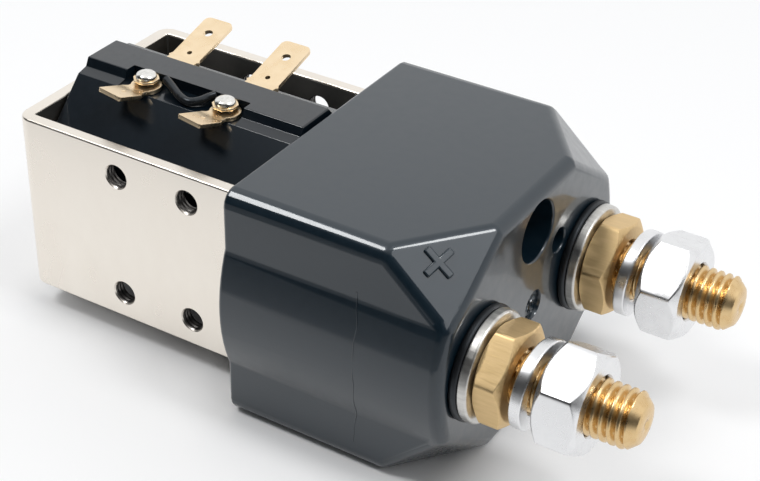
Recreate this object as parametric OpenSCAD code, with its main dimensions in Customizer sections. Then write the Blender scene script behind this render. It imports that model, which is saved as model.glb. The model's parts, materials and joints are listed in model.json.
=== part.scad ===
// Sealed dc contactor with a steel yoke, a moulded contact cover and two brass power studs.
// It lies on the underside of its cover: +X points along the studs, +Z up, and the origin is
// on the surface below the middle of the part. Inside the modules x is counted from the closed
// end of the yoke, and y and z from the axis of the coil.

/* [Yoke] */
// Width of the yoke over its two side walls
yoke_w = 44; // [42:0.5:47]
// Height of the yoke, which is the width of its steel strip
yoke_h = 36; // [34:0.5:40]
// Thickness of the steel strip
yoke_t = 2.5; // [2:0.1:3]
// Length of the side walls from the closed end to the pole plate
yoke_len = 53.4; // [50:0.2:60]
// Inner radius of the two bends
yoke_bend_r = 0.5; // [0.3:0.1:2]
// Height of the tenon on each side wall
tenon_h = 10; // [6:0.5:14]

/* [Mounting holes] */
// Tapping bore of the threaded holes in the side walls
mount_bore_d = 4.2; // [3.3:0.1:5]
// Spacing of the mounting holes along the yoke
mount_pitch_x = 15.6; // [12:0.2:20]
// Spacing of the mounting holes across the yoke
mount_pitch_z = 25; // [18:0.5:28]
// Distance of the first holes from the closed end
mount_first_x = 22.9; // [16:0.1:26]
// Width of the bevel at the mouth of each hole
mount_bevel = 0.4; // [0.2:0.1:0.8]

/* [Pole plate and gasket] */
// Thickness of the pole plate
pole_t = 3.5; // [2.5:0.1:5]
// Corner radius of the pole plate
pole_corner_r = 1.5; // [0.5:0.1:2.5]
// Thickness of the gasket between the pole plate and the cover
gasket_t = 0.6; // [0.4:0.1:1.5]
// Width of the cover's ledge that presses on the gasket
ledge_w = 2; // [1.5:0.1:2.5]

/* [Moulded cover] */
// Length of the cover
cover_len = 43.9; // [42:0.1:50]
// How far the cover laps over the end of the yoke
cover_lap = 1.6; // [1:0.1:3]
// Step between the top of the yoke and the top of the cover
cover_step = 4.85; // [4:0.05:6]
// Thickness of the top, bottom and skirt walls
cover_wall = 3; // [2.4:0.1:3.2]
// Thickness of the side walls of the contact chamber
side_wall = 5; // [5:0.1:6.5]
// Thickness of the end wall that carries the studs
end_wall = 5.7; // [4:0.1:7]
// Radius of the four long edges
cover_edge_r = 3; // [1.5:0.1:3.5]
// Rise of the rounded flanks beyond the flat sides
flank_rise = 2.35; // [1.5:0.05:3]
// Corner facets: reach along the part
facet_x = 13.9; // [8:0.1:15]
// Corner facets: reach across the end face
facet_y = 17.85; // [10:0.05:19]
// Corner facets: reach down the end face
facet_z = 12.45; // [8:0.05:14]
// Length of the two bars of the raised plus
plus_len = 6.1; // [4:0.1:6.5]
// Width of the two bars of the raised plus
plus_w = 1.2; // [0.8:0.1:1.6]
// Height of the raised plus
plus_rise = 0.45; // [0.3:0.05:0.8]

/* [Cover screws] */
// Distance of the two cover screws from the top and bottom walls of the contact chamber
screw_inset = 2.85; // [2.4:0.05:4.4]
// Diameter of the counterbores in the end face
screw_well_d = 11.2; // [9.4:0.1:11.4]
// Depth of the counterbores
screw_well_deep = 11; // [8:0.5:12]
// Thread diameter of the cover screws
screw_d = 4; // [3:0.5:4]
// Head diameter of the cover screws
screw_head_d = 8.4; // [7:0.1:9]
// Head height of the cover screws
screw_head_t = 3; // [2:0.1:3.5]

/* [Small marks in the end face] */
// Diameter of the blind vent beside the upper counterbore
vent_d = 4.6; // [3:0.1:5]
// Place of the vent across the end face
vent_y = 8.4; // [8.2:0.1:9.2]
// Place of the vent above the axis
vent_z = 8.8; // [7.5:0.1:9.2]
// Depth of the vent
vent_deep = 4; // [2:0.1:4]
// Diameter of the moulding gate's recess in the middle
gate_d = 5.6; // [4:0.1:7]
// Depth of the gate's recess
gate_deep = 0.9; // [0.5:0.1:1.5]

/* [Power studs] */
// Spacing of the two studs
stud_spacing = 38.2; // [37:0.2:42]
// Thread diameter of the studs
stud_d = 10; // [8:1:10]
// Length of the studs beyond the end face
stud_out = 30.3; // [29:0.1:36]
// Bevel at the tip of the studs
stud_bevel = 1; // [0.5:0.1:1.5]
// Width of the stud's head between the chamber walls
stud_head_w = 10.2; // [10.2:0.1:12]
// Height of the stud's head
stud_head_h = 16; // [12:0.5:18]
// Thickness of the stud's head
stud_head_t = 4; // [2.5:0.1:5]

/* [Stud hardware] */
// Thickness of the rubber seal that shows
seal_t = 1.4; // [1:0.1:2.5]
// Outer diameter of the rubber seal
seal_d = 20.6; // [19:0.1:21]
// Thickness of the flat washer
flat_t = 2; // [1.2:0.1:2.5]
// Outer diameter of the flat washer
flat_d = 20; // [18:0.1:21]
// Width across flats of the brass nut
brass_af = 16.4; // [16:0.1:17]
// Thickness of the brass nut
brass_t = 5; // [4:0.1:6]
// Thread that shows between the brass nut and the spring washer
lug_gap = 2.1; // [1:0.1:3]
// Outer diameter of the spring washer
lock_d = 17.6; // [16:0.1:18]
// Thickness of the spring washer
lock_t = 2.4; // [1.8:0.1:2.8]
// Rise of the spring washer's helix over one turn
lock_rise = 1; // [0.5:0.1:1.5]
// Width across flats of the steel nut
steel_af = 17; // [16:0.1:17]
// Thickness of the steel nut
steel_t = 8; // [6:0.1:9]
// Width of the bevels on the nuts, as a share of their flats' overhang
nut_bevel_share = 1.15; // [0.6:0.05:1.3]

/* [Contacts] */
// Gap of the open contacts
contact_gap = 3.5; // [2.5:0.1:4]
// Further travel of the plunger once the contacts meet
overtravel = 1.5; // [1:0.1:2]
// Thickness of the silver tips
tip_t = 1; // [0.6:0.1:1.5]
// Diameter of the silver tips
tip_d = 9; // [7:0.1:9]
// Thickness of the contact bridge
bridge_t = 3; // [2:0.1:4]
// Height of the contact bridge
bridge_h = 12; // [9:0.5:12]
// Share of the room between the spring's seat at the pole plate and the bridge that the spring takes
contact_spring_share = 0.66; // [0.5:0.01:0.75]
// Outer diameter of the contact spring
contact_spring_d = 12; // [9:0.1:12]
// Wire diameter of the contact spring
contact_wire_d = 1.1; // [0.8:0.1:1.3]

/* [Arc magnets] */
// Length of each arc magnet, as a share of the contact chamber's length
magnet_share = 0.8; // [0.5:0.01:0.85]
// Height of each arc magnet
magnet_h = 16; // [10:0.5:18]
// Thickness of each arc magnet
magnet_t = 4; // [2.5:0.1:4.2]

/* [Plunger and core] */
// Radius of the plunger and of the fixed core, as a share of the bore of the coil's jacket
plunger_share = 0.53; // [0.46:0.01:0.54]
// Length of the plunger
plunger_len = 19.8; // [16:0.2:22]
// Diameter of the push rod
rod_d = 5; // [4:0.1:5]
// Depth to which the push rod is pressed into the plunger
rod_grip = 12; // [8:0.5:14]
// Outer diameter of the return spring
return_spring_d = 9; // [7.4:0.1:9.2]
// Wire diameter of the return spring
return_wire_d = 0.9; // [0.6:0.05:1]
// Depth of the spring's seat in the plunger
seat_in_plunger = 6; // [3:0.5:7]
// Depth of the spring's seat in the core
seat_in_core = 8; // [4:0.5:10]
// Thickness of the rubber buffer behind the plunger
buffer_t = 2.4; // [1.5:0.1:3]

/* [Coil] */
// Wall of the brass guide tube
tube_t = 0.75; // [0.5:0.05:1]
// Wall of the bobbin's barrel
bobbin_t = 2.2; // [1.5:0.1:2.6]
// Thickness of the bobbin's flanges
flange_t = 1.5; // [1:0.1:2]
// Wall of the coil's moulded jacket
jacket_t = 2.3; // [1.8:0.1:2.8]
// Step between the top of the yoke and the drum of the jacket
drum_inset = 0.6; // [0.4:0.1:1.5]
// Height of the terminal ridge above the top of the yoke
ridge_rise = 5.2; // [4:0.1:7]
// Width of the terminal ridge
ridge_w = 8.8; // [8:0.1:9.6]
// Depth of the ledges beside the ridge below its top
ledge_drop = 2.1; // [1.6:0.1:2.8]

/* [Coil terminals] */
// Distance of the first terminals from the closed end
tab_first_x = 16.8; // [14:0.1:19]
// Spacing of the terminals
tab_pitch = 17.8; // [16:0.1:20]
// Thickness of the terminals' sheet brass
tab_t = 0.8; // [0.6:0.05:0.9]
// Width of the front tabs
tab_w = 5.8; // [4.5:0.1:6.3]
// Reach of the front tabs from their rivets
tab_reach = 9.2; // [7:0.1:11]
// Tilt of the front tabs above the level
tab_tilt = 10; // [0:1:20]
// Turn of the front tabs towards the closed end
tab_turn = 10; // [0:1:20]
// Width of the rear blades
blade_w = 6.3; // [4.8:0.1:6.3]
// Reach of the rear blades beyond the ridge
blade_reach = 12.2; // [9:0.1:14]
// Tilt of the rear blades above the level
blade_tilt = 15; // [0:1:25]
// Diameter of the rivets' heads
rivet_head_d = 3.4; // [2.6:0.1:3.8]
// Diameter of the jumper lead's sleeve
lead_d = 1.6; // [1:0.1:1.7]

/* [Hidden] */
$fn = 96;

// Clearances and the overrun of every cut
run_fit = 0.05;
slack = 0.1;
stop_gap = 0.3;
over = 1;

// Places along the yoke and the magnet circuit
bend_out_r = yoke_bend_r + yoke_t;
wall_y = yoke_w / 2;
pole_x0 = yoke_len;
pole_x1 = pole_x0 + pole_t;
gasket_x1 = pole_x1 + gasket_t;

// Cover
cover_x0 = yoke_len - cover_lap;
cover_x1 = cover_x0 + cover_len;
cover_h = yoke_h + 2 * cover_step;
chamber_y = stud_spacing / 2 + stud_head_w / 2 + run_fit;
cover_y = chamber_y + side_wall;
cover_z = cover_h / 2;
flank_r = cover_y + flank_rise;
pocket_y = cover_y - cover_wall;
pocket_z = cover_z - cover_wall;
chamber_z = pocket_z - ledge_w;
chamber_x1 = cover_x1 - end_wall;
facet_wall = cover_wall;
magnet_len = (chamber_x1 - gasket_x1) * magnet_share;
plus_turn = 30;
plus_shares = [0.42, 0.33, 0.25];

// Cover screws and their bosses
screw_seat_x = cover_x1 - screw_well_deep;
well_wall = 1.3;
boss_floor = 1.5;
boss_wall = 1.7;
screw_z = chamber_z - screw_inset;
screw_hole_r = screw_d / 2 + 2 * slack;
screw_tip_gap = 0.5;
cross_long_share = 0.66;
cross_wide_share = 0.25;

// Contacts, from the end wall back to the spring's seat
head_x0 = chamber_x1 - stud_head_t;
fixed_tip_x0 = head_x0 - tip_t;
moving_tip_x1 = fixed_tip_x0 - contact_gap;
bridge_x1 = moving_tip_x1 - tip_t;
bridge_x0 = bridge_x1 - bridge_t;
bridge_y = chamber_y - 5 * slack;
bush_flange_t = 1.2;
bush_wall = 1.1;
bush_x0 = bridge_x0 - bush_flange_t;
seat_rim_t = 1.5;
seat_hub_t = 2;
spring_room = bush_x0 - pole_x1 - seat_rim_t - seat_hub_t;
seat_x1 = bush_x0 - spring_room * contact_spring_share;
seat_x0 = seat_x1 - seat_rim_t - seat_hub_t;
clip_x0 = bridge_x1 + stop_gap;
clip_t = 0.8;
clip_groove = 0.4;
clip_mouth_share = 0.7;
rod_end = 1.2;
rod_x1 = clip_x0 + clip_t + rod_end;
stroke = contact_gap + overtravel;

// Drum of the coil between the yoke's walls, and the plunger inside it
drum_side_gap = 1;
drum_r = min(yoke_h / 2 - drum_inset, yoke_w / 2 - yoke_t - drum_side_gap);
jacket_in_r = drum_r - jacket_t;
plunger_r = jacket_in_r * plunger_share;

// Plunger, core and coil, from the closed end outwards
buffer_x1 = yoke_t + buffer_t;
plunger_x0 = buffer_x1 + stop_gap;
plunger_x1 = plunger_x0 + plunger_len;
core_x0 = plunger_x1 + stroke + slack;
rod_r = rod_d / 2;
rod_x0 = plunger_x1 - rod_grip;
spring_well_r = return_spring_d / 2 + 5 * slack;
spigot_share = 0.75;
spigot_r = plunger_r * spigot_share;
tube_in_r = plunger_r + run_fit;
tube_out_r = tube_in_r + tube_t;
barrel_in_r = tube_out_r + slack;
barrel_out_r = barrel_in_r + bobbin_t;
flange_r = jacket_in_r - slack;
winding_r = flange_r - slack;
bobbin_x0 = yoke_t + slack;
bobbin_x1 = yoke_len - slack;
jacket_x0 = yoke_t + 3 * slack;
jacket_gap = 0.6;
jacket_x1 = cover_x0 - jacket_gap;

// Outline of the jacket's shoulders and ridge
ridge_z = yoke_h / 2 + ridge_rise;
ledge_z = ridge_z - ledge_drop;
ridge_y = ridge_w / 2;
riser_y = 0.8;
ledge_out = 2.2;
ledge_y = ridge_y + riser_y + ledge_out;
ledge_bevel = 0.5;
pocket_before = 5.4;
pocket_behind = 4;
pocket_len = tab_pitch + pocket_before + pocket_behind;

// Terminals
eye_r = 3.2;
eye_out = 0.6;
eye_y = ridge_y + eye_out;
pocket_back_y = eye_y - eye_r - 2 * slack;
eye_x_shift = 0.4;
eye_z0 = ledge_z + slack;
eye_z1 = eye_z0 + tab_t;
rivet_back = 0.4;
rivet_y = eye_y - rivet_back;
rivet_r = 1;
collar_r = 2.6;
collar_t = 0.5;
collar_lift = 0.6;
collar_post_r = 1.6;
collar_z1 = eye_z1 + collar_lift + collar_t;
rivet_head_t = 1.2;
rivet_deep = 2.4;
dimple_r = 0.55;
dimple_share = 0.62;
dimple_depth_share = 0.4;
bend_share = 0.75;
neck_share = 0.9;
blade_tail = 2.6;
blade_hole_r = 0.8;
blade_pin_r = 0.5;
blade_corner_r = 1.2;
blade_hole_share = 0.77;
blade_pin_share = 0.2;
blade_drop = 0.9;
blade_z = ridge_z - blade_drop;
blade_x_shift = 1.2;

// Route of the jumper lead, as shares of the tab pitch along the ridge, of the ledge's half
// width forwards and of the lead's diameter above the ledge
lead_route_shares = [
    [0.20, 0.45, 1.20], [0.32, 0.58, 0.92], [0.47, 0.77, 0.68], [0.61, 0.86, 0.58],
    [0.70, 0.70, 0.66], [0.76, 0.50, 0.90], [0.82, 0.38, 1.15]
];
lead_r = lead_d / 2;
lead_steps = 4;
lead_sides = 10;

// Places along the studs
stud_y = stud_spacing / 2;
stud_r = stud_d / 2;
seal_x1 = cover_x1 + seal_t;
flat_x1 = seal_x1 + flat_t;
brass_x1 = flat_x1 + brass_t;
lock_x0 = brass_x1 + lug_gap;
steel_x0 = lock_x0 + lock_t + lock_rise;
stud_x1 = cover_x1 + stud_out;
front_brass_turn = 15;
rear_brass_turn = 15;
front_steel_turn = -3;
rear_steel_turn = 13;
lock_steps = 40;
lock_open = 8;

// Helpers

// Everything below is drawn from the closed end of the yoke and moved to its place here
module placed() {
    translate([-stud_x1 / 2, 0, cover_z]) children();
}

// Solid round bar along x
module bar(r, from, to) {
    translate([from, 0, 0]) rotate([0, 90, 0]) cylinder(r = r, h = to - from);
}

// Ring along x
module ring(outer_r, inner_r, from, to) {
    difference() {
        bar(outer_r, from, to);
        bar(inner_r, from - over, to + over);
    }
}

// Block along x with half sizes in y and z, and rounded long edges
module round_block(half_y, half_z, r, from, to) {
    translate([from, -half_y + r, -half_z]) cube([to - from, 2 * (half_y - r), 2 * half_z]);
    translate([from, -half_y, -half_z + r]) cube([to - from, 2 * half_y, 2 * (half_z - r)]);
    for (sy = [-1, 1], sz = [-1, 1]) {
        translate([0, sy * (half_y - r), sz * (half_z - r)]) bar(r, from, to);
    }
}

// Outline in y and z drawn out along x
module drawn_out(from, to) {
    translate([from, 0, 0]) rotate([90, 0, 90]) linear_extrude(to - from) children();
}

// Hexagon nut along x with bevelled corners on one or both faces
module hex_nut(af, thick, from, turn, both_faces) {
    corner_r = af / 2 / cos(30);
    bevel = (corner_r - af / 2) * nut_bevel_share;
    face_r = af / 2 - bevel / 4;
    slope = (corner_r - face_r) * tan(30);
    translate([from, 0, 0]) difference() {
        intersection() {
            rotate([turn, 0, 0]) rotate([0, 90, 0]) cylinder(r = corner_r, h = thick, $fn = 6);
            rotate([0, 90, 0]) rotate_extrude() polygon([
                [0, 0], [both_faces ? face_r : corner_r + slack, 0],
                [corner_r + slack, both_faces ? slope : 0], [corner_r + slack, thick - slope],
                [face_r, thick], [0, thick]
            ]);
        }
        bar(stud_r + run_fit, -over, thick + over);
    }
}

// Point on a smooth curve between b and c, with neighbours a and d
function smooth(a, b, c, d, t) =
    0.5 * (2 * b + (c - a) * t + (2 * a - 5 * b + 4 * c - d) * t * t
    + (3 * b - a - 3 * c + d) * t * t * t);

// Yoke

module mount_hole() {
    rotate([90, 0, 0]) translate([0, 0, -over]) cylinder(d = mount_bore_d, h = yoke_t + 2 * over);
    rotate([90, 0, 0]) translate([0, 0, yoke_t - mount_bevel])
        cylinder(d1 = mount_bore_d, d2 = mount_bore_d + 2 * mount_bevel, h = mount_bevel);
}

module mount_holes() {
    for (side = [0, 1], ix = [0, 1], sz = [-1, 1]) {
        mirror([0, side, 0])
            translate([mount_first_x + ix * mount_pitch_x, -wall_y + yoke_t, sz * mount_pitch_z / 2])
            mount_hole();
    }
}

module yoke_bend(side) {
    translate([bend_out_r, side * (wall_y - bend_out_r), -yoke_h / 2]) cylinder(r = bend_out_r, h = yoke_h);
}

module yoke_shell() {
    translate([bend_out_r, -wall_y, -yoke_h / 2]) cube([yoke_len - bend_out_r, yoke_w, yoke_h]);
    translate([0, bend_out_r - wall_y, -yoke_h / 2])
        cube([2 * bend_out_r, yoke_w - 2 * bend_out_r, yoke_h]);
    for (side = [-1, 1]) yoke_bend(side);
}

module yoke_inside() {
    half = wall_y - yoke_t;
    translate([bend_out_r, -half, -yoke_h]) cube([yoke_len, 2 * half, 2 * yoke_h]);
    translate([yoke_t, -half + yoke_bend_r, -yoke_h])
        cube([2 * bend_out_r, 2 * (half - yoke_bend_r), 2 * yoke_h]);
    for (side = [-1, 1]) {
        translate([bend_out_r, side * (half - yoke_bend_r), -yoke_h]) cylinder(r = yoke_bend_r, h = 2 * yoke_h);
    }
}

module tenons(gap) {
    for (side = [-1, 1]) {
        translate([pole_x0 - over, side * (wall_y - yoke_t / 2), 0])
            translate([0, -yoke_t / 2 - gap, -tenon_h / 2 - gap])
            cube([pole_t + over + (gap > 0 ? over : 0), yoke_t + 2 * gap, tenon_h + 2 * gap]);
    }
}

module yoke() {
    color("antiquewhite") placed() difference() {
        union() {
            difference() {
                yoke_shell();
                yoke_inside();
            }
            tenons(0);
        }
        mount_holes();
    }
}

// Pole plate, core and coil

module pole_plate() {
    color("silver") placed() difference() {
        round_block(pocket_y - slack, pocket_z - slack, pole_corner_r, pole_x0, pole_x1);
        bar(spigot_r + run_fit, pole_x0 - over, pole_x1 + over);
        for (sz = [-1, 1]) {
            translate([0, 0, sz * screw_z]) bar(screw_d / 2 + run_fit, pole_x0 - over, pole_x1 + over);
        }
        tenons(run_fit);
    }
}

module fixed_core() {
    color("gray") placed() difference() {
        union() {
            bar(plunger_r, core_x0, pole_x0);
            bar(spigot_r, pole_x0 - over, pole_x1);
        }
        bar(rod_r + run_fit, core_x0 - over, pole_x1 + over);
        bar(spring_well_r, core_x0 - over, core_x0 + seat_in_core);
    }
}

module guide_tube() {
    color("darkgoldenrod") placed() ring(tube_out_r, tube_in_r, bobbin_x0, bobbin_x1);
}

module bobbin() {
    color("dimgray") placed() difference() {
        union() {
            bar(barrel_out_r, bobbin_x0, bobbin_x1);
            bar(flange_r, bobbin_x0, bobbin_x0 + flange_t);
            bar(flange_r, bobbin_x1 - flange_t, bobbin_x1);
        }
        bar(barrel_in_r, bobbin_x0 - over, bobbin_x1 + over);
    }
}

module winding() {
    color("peru") placed()
        ring(winding_r, barrel_out_r + run_fit, bobbin_x0 + flange_t, bobbin_x1 - flange_t);
}

// Half outline of the shoulders and the ridge, from the axis outwards
module shoulder_outline() {
    polygon([
        [-drum_r, 0], [-drum_r, ledge_z - (drum_r - ledge_y)], [-ledge_y, ledge_z],
        [-ridge_y - riser_y, ledge_z + ledge_bevel], [-ridge_y, ridge_z],
        [ridge_y, ridge_z], [ridge_y + riser_y, ledge_z + ledge_bevel],
        [ledge_y, ledge_z], [drum_r, ledge_z - (drum_r - ledge_y)], [drum_r, 0]
    ]);
}

module blade_slots() {
    for (i = [0, 1]) {
        translate([tab_first_x + blade_x_shift + i * tab_pitch - blade_w / 2 - run_fit,
            ridge_y - blade_tail, blade_z - run_fit])
            cube([blade_w + 2 * run_fit, blade_tail + riser_y + over, tab_t + 2 * run_fit]);
    }
}

module coil_jacket() {
    color("darkslategray") placed() difference() {
        union() {
            bar(drum_r, jacket_x0, jacket_x1);
            drawn_out(jacket_x0, jacket_x1) shoulder_outline();
        }
        bar(jacket_in_r, jacket_x0 - over, jacket_x1 + over);
        translate([tab_first_x - pocket_before, -ledge_y - over, ledge_z])
            cube([pocket_len, ledge_y + over - pocket_back_y, ridge_z]);
        for (i = [0, 1]) {
            translate([tab_first_x + i * tab_pitch, -rivet_y, ledge_z - rivet_deep])
                cylinder(r = rivet_r + run_fit, h = rivet_deep + over);
        }
        blade_slots();
    }
}

// Plunger, push rod and springs

module plunger() {
    color("lightgray") placed() difference() {
        bar(plunger_r, plunger_x0, plunger_x1);
        bar(rod_r + run_fit / 2, rod_x0, plunger_x1 + over);
        bar(spring_well_r, plunger_x1 - seat_in_plunger, plunger_x1 + over);
    }
}

module push_rod() {
    color("gainsboro") placed() difference() {
        bar(rod_r, rod_x0, rod_x1);
        ring(2 * rod_r, rod_r - clip_groove, clip_x0 - run_fit, clip_x0 + clip_t + run_fit);
    }
}

module return_spring() {
    color("slategray") placed()
        ring(return_spring_d / 2, return_spring_d / 2 - return_wire_d,
            plunger_x1 - seat_in_plunger, core_x0 + seat_in_core);
}

module buffer_washer() {
    color("black") placed() ring(plunger_r - slack, rod_r, yoke_t, buffer_x1);
}

module spring_seat() {
    color("silver") placed() difference() {
        union() {
            bar(contact_spring_d / 2 + 5 * slack, seat_x1 - seat_rim_t, seat_x1);
            bar(rod_r + boss_wall, seat_x0, seat_x1 - seat_rim_t + run_fit);
        }
        bar(rod_r + run_fit / 2, seat_x0 - over, seat_x1 + over);
    }
}

module contact_spring() {
    color("slategray") placed()
        ring(contact_spring_d / 2, contact_spring_d / 2 - contact_wire_d, seat_x1, bush_x0);
}

module rod_clip() {
    color("dimgray") placed() difference() {
        ring(2 * rod_r, rod_r - clip_groove + run_fit, clip_x0, clip_x0 + clip_t);
        translate([clip_x0 - over, -rod_r * clip_mouth_share, -3 * rod_r])
            cube([clip_t + 2 * over, 2 * rod_r * clip_mouth_share, 3 * rod_r]);
    }
}

// Contacts

module bridge_insulator() {
    color("saddlebrown") placed() difference() {
        union() {
            bar(contact_spring_d / 2 + 5 * slack, bush_x0, bridge_x0);
            bar(rod_r + run_fit + bush_wall, bridge_x0 - over, bridge_x1);
        }
        bar(rod_r + run_fit, bush_x0 - over, bridge_x1 + over);
    }
}

module contact_bridge() {
    color("coral") placed() difference() {
        translate([bridge_x0, -bridge_y, -bridge_h / 2]) cube([bridge_t, 2 * bridge_y, bridge_h]);
        bar(rod_r + run_fit + bush_wall + run_fit, bridge_x0 - over, bridge_x1 + over);
    }
}

module bridge_tips() {
    color("whitesmoke") placed() for (side = [-1, 1]) {
        translate([0, side * stud_y, 0]) bar(tip_d / 2, bridge_x1, moving_tip_x1);
    }
}

module stud_tips() {
    color("whitesmoke") placed() for (side = [-1, 1]) {
        translate([0, side * stud_y, 0]) bar(tip_d / 2, fixed_tip_x0, head_x0);
    }
}

module magnet(side) {
    y0 = side > 0 ? chamber_y + run_fit : -chamber_y - run_fit - magnet_t;
    color("black") placed()
        translate([chamber_x1 - magnet_len - slack, y0, -magnet_h / 2]) cube([magnet_len, magnet_t, magnet_h]);
}

module front_magnet() {
    magnet(-1);
}

module rear_magnet() {
    magnet(1);
}

// Cover

// Everything beyond the planes that cut the four corners of the end, moved inwards by inset
module facet_cuts(inset) {
    reach = 4 * cover_y;
    for (sy = [-1, 1], sz = [-1, 1]) {
        normal = [1 / facet_x, sy / facet_y, sz / facet_z];
        translate([cover_x1 - facet_x, sy * cover_y, sz * cover_z])
            rotate([0, acos(normal[2] / norm(normal)), atan2(normal[1], normal[0])])
            translate([-reach / 2, -reach / 2, -inset])
            cube(reach);
    }
}

module cover_outside() {
    difference() {
        union() {
            round_block(cover_y, cover_z, cover_edge_r, cover_x0, cover_x1);
            intersection() {
                bar(flank_r, cover_x0, cover_x1);
                translate([cover_x0, -2 * flank_r, -cover_z / 2 - cover_edge_r])
                    cube([cover_len, 4 * flank_r, cover_z + 2 * cover_edge_r]);
            }
        }
        facet_cuts(0);
    }
}

module chamber() {
    difference() {
        translate([pole_x1, -chamber_y, -chamber_z]) cube([chamber_x1 - pole_x1, 2 * chamber_y, 2 * chamber_z]);
        facet_cuts(facet_wall);
        for (sz = [-1, 1]) {
            translate([0, 0, sz * screw_z]) {
                bar(screw_hole_r + boss_wall, pole_x1 - over, cover_x1);
                bar(screw_well_d / 2 + well_wall, screw_seat_x - boss_floor, cover_x1);
            }
        }
    }
}

module magnet_pockets() {
    half_h = magnet_h / 2 + slack;
    for (side = [-1, 1]) {
        translate([chamber_x1 - magnet_len - 2 * slack, side * (chamber_y + magnet_t / 2), -half_h])
            translate([0, -magnet_t / 2 - slack, 0])
            cube([magnet_len + 2 * slack, magnet_t + 2 * slack, 2 * half_h]);
    }
}

module screw_ways() {
    for (sz = [-1, 1]) {
        translate([0, 0, sz * screw_z]) {
            bar(screw_well_d / 2, screw_seat_x, cover_x1 + over);
            bar(screw_hole_r, pole_x1 - over, cover_x1);
        }
    }
}

// Plus on the upper front facet
module raised_plus() {
    normal = [1 / facet_x, -1 / facet_y, 1 / facet_z];
    place = [facet_x * plus_shares[0], facet_y * plus_shares[1], facet_z * plus_shares[2]];
    translate([cover_x1 - place[0], -cover_y + place[1], cover_z - place[2]])
        rotate([0, acos(normal[2] / norm(normal)), atan2(normal[1], normal[0])])
        for (turn = [0, 90]) {
            rotate([0, 0, turn + plus_turn]) translate([-plus_len / 2, -plus_w / 2, -plus_w])
                cube([plus_len, plus_w, plus_w + plus_rise]);
        }
}

module cover() {
    color("darkslategray") placed() {
        difference() {
            cover_outside();
            round_block(pocket_y, pocket_z, pole_corner_r, cover_x0 - over, gasket_x1);
            chamber();
            magnet_pockets();
            screw_ways();
            for (side = [-1, 1]) {
                translate([0, side * stud_y, 0]) bar(stud_r + run_fit, chamber_x1 - over, cover_x1 + over);
            }
            translate([0, vent_y, vent_z]) bar(vent_d / 2, cover_x1 - vent_deep, cover_x1 + over);
            bar(gate_d / 2, cover_x1 - gate_deep, cover_x1 + over);
        }
        raised_plus();
    }
}

module cover_gasket() {
    color("dimgray") placed() difference() {
        round_block(pocket_y - slack, pocket_z - slack, pole_corner_r, pole_x1, gasket_x1);
        translate([pole_x1 - over, -chamber_y, -chamber_z])
            cube([gasket_t + 2 * over, 2 * chamber_y, 2 * chamber_z]);
    }
}

module cover_screws() {
    cross_len = screw_head_d * cross_long_share;
    cross_w = screw_d * cross_wide_share;
    color("silver") placed() for (sz = [-1, 1]) {
        translate([0, 0, sz * screw_z]) difference() {
            union() {
                bar(screw_d / 2, pole_x0 + screw_tip_gap, screw_seat_x + slack);
                bar(screw_head_d / 2, screw_seat_x, screw_seat_x + screw_head_t);
            }
            for (turn = [0, 90]) {
                rotate([turn, 0, 0])
                    translate([screw_seat_x + screw_head_t / 2, -cross_len / 2, -cross_w / 2])
                    cube([screw_head_t, cross_len, cross_w]);
            }
        }
    }
}

// Studs and their hardware

module stud(side) {
    color("goldenrod") placed() translate([0, side * stud_y, 0]) {
        bar(stud_r, head_x0, stud_x1 - stud_bevel);
        translate([stud_x1 - stud_bevel, 0, 0]) rotate([0, 90, 0])
            cylinder(r1 = stud_r, r2 = stud_r - stud_bevel, h = stud_bevel);
        translate([head_x0, -stud_head_w / 2, -stud_head_h / 2])
            cube([stud_head_t, stud_head_w, stud_head_h]);
    }
}

module front_stud() {
    stud(-1);
}

module rear_stud() {
    stud(1);
}

module stud_ring(side, outer_r, from, to) {
    placed() translate([0, side * stud_y, 0]) ring(outer_r, stud_r + run_fit, from, to);
}

module front_seal() {
    color("black") stud_ring(-1, seal_d / 2, cover_x1, seal_x1);
}

module rear_seal() {
    color("black") stud_ring(1, seal_d / 2, cover_x1, seal_x1);
}

module front_flat_washer() {
    color("lightgray") stud_ring(-1, flat_d / 2, seal_x1, flat_x1);
}

module rear_flat_washer() {
    color("lightgray") stud_ring(1, flat_d / 2, seal_x1, flat_x1);
}

module brass_nut(side, turn) {
    color("burlywood") placed() translate([0, side * stud_y, 0])
        hex_nut(brass_af, brass_t, flat_x1, turn, false);
}

module front_brass_nut() {
    brass_nut(-1, front_brass_turn);
}

module rear_brass_nut() {
    brass_nut(1, rear_brass_turn);
}

// Split washer: a flat bar wound one turn on a helix, open by a few degrees at the bottom
module lock_washer(side) {
    in_r = stud_r + run_fit;
    out_r = lock_d / 2;
    function rise(i) = lock_x0 + lock_rise * i / lock_steps;
    function turn(i) = -90 + lock_open / 2 + (360 - lock_open) * i / lock_steps;
    function corner(x, r, a) = [x, r * cos(a), r * sin(a)];
    points = [for (i = [0:lock_steps]) each [
        corner(rise(i), in_r, turn(i)), corner(rise(i), out_r, turn(i)),
        corner(rise(i) + lock_t, out_r, turn(i)), corner(rise(i) + lock_t, in_r, turn(i))
    ]];
    sides = [for (i = [0:lock_steps - 1], k = [0:3]) each [
        [4 * i + k, 4 * i + (k + 1) % 4, 4 * i + 4 + (k + 1) % 4],
        [4 * i + k, 4 * i + 4 + (k + 1) % 4, 4 * i + 4 + k]
    ]];
    last = 4 * lock_steps;
    ends = [[2, 1, 0], [3, 2, 0], [last, last + 1, last + 2], [last, last + 2, last + 3]];
    color("silver") placed() translate([0, side * stud_y, 0]) polyhedron(points, concat(sides, ends));
}

module front_lock_washer() {
    lock_washer(-1);
}

module rear_lock_washer() {
    lock_washer(1);
}

module steel_nut(side, turn) {
    color("gainsboro") placed() translate([0, side * stud_y, 0])
        hex_nut(steel_af, steel_t, steel_x0, turn, true);
}

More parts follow.
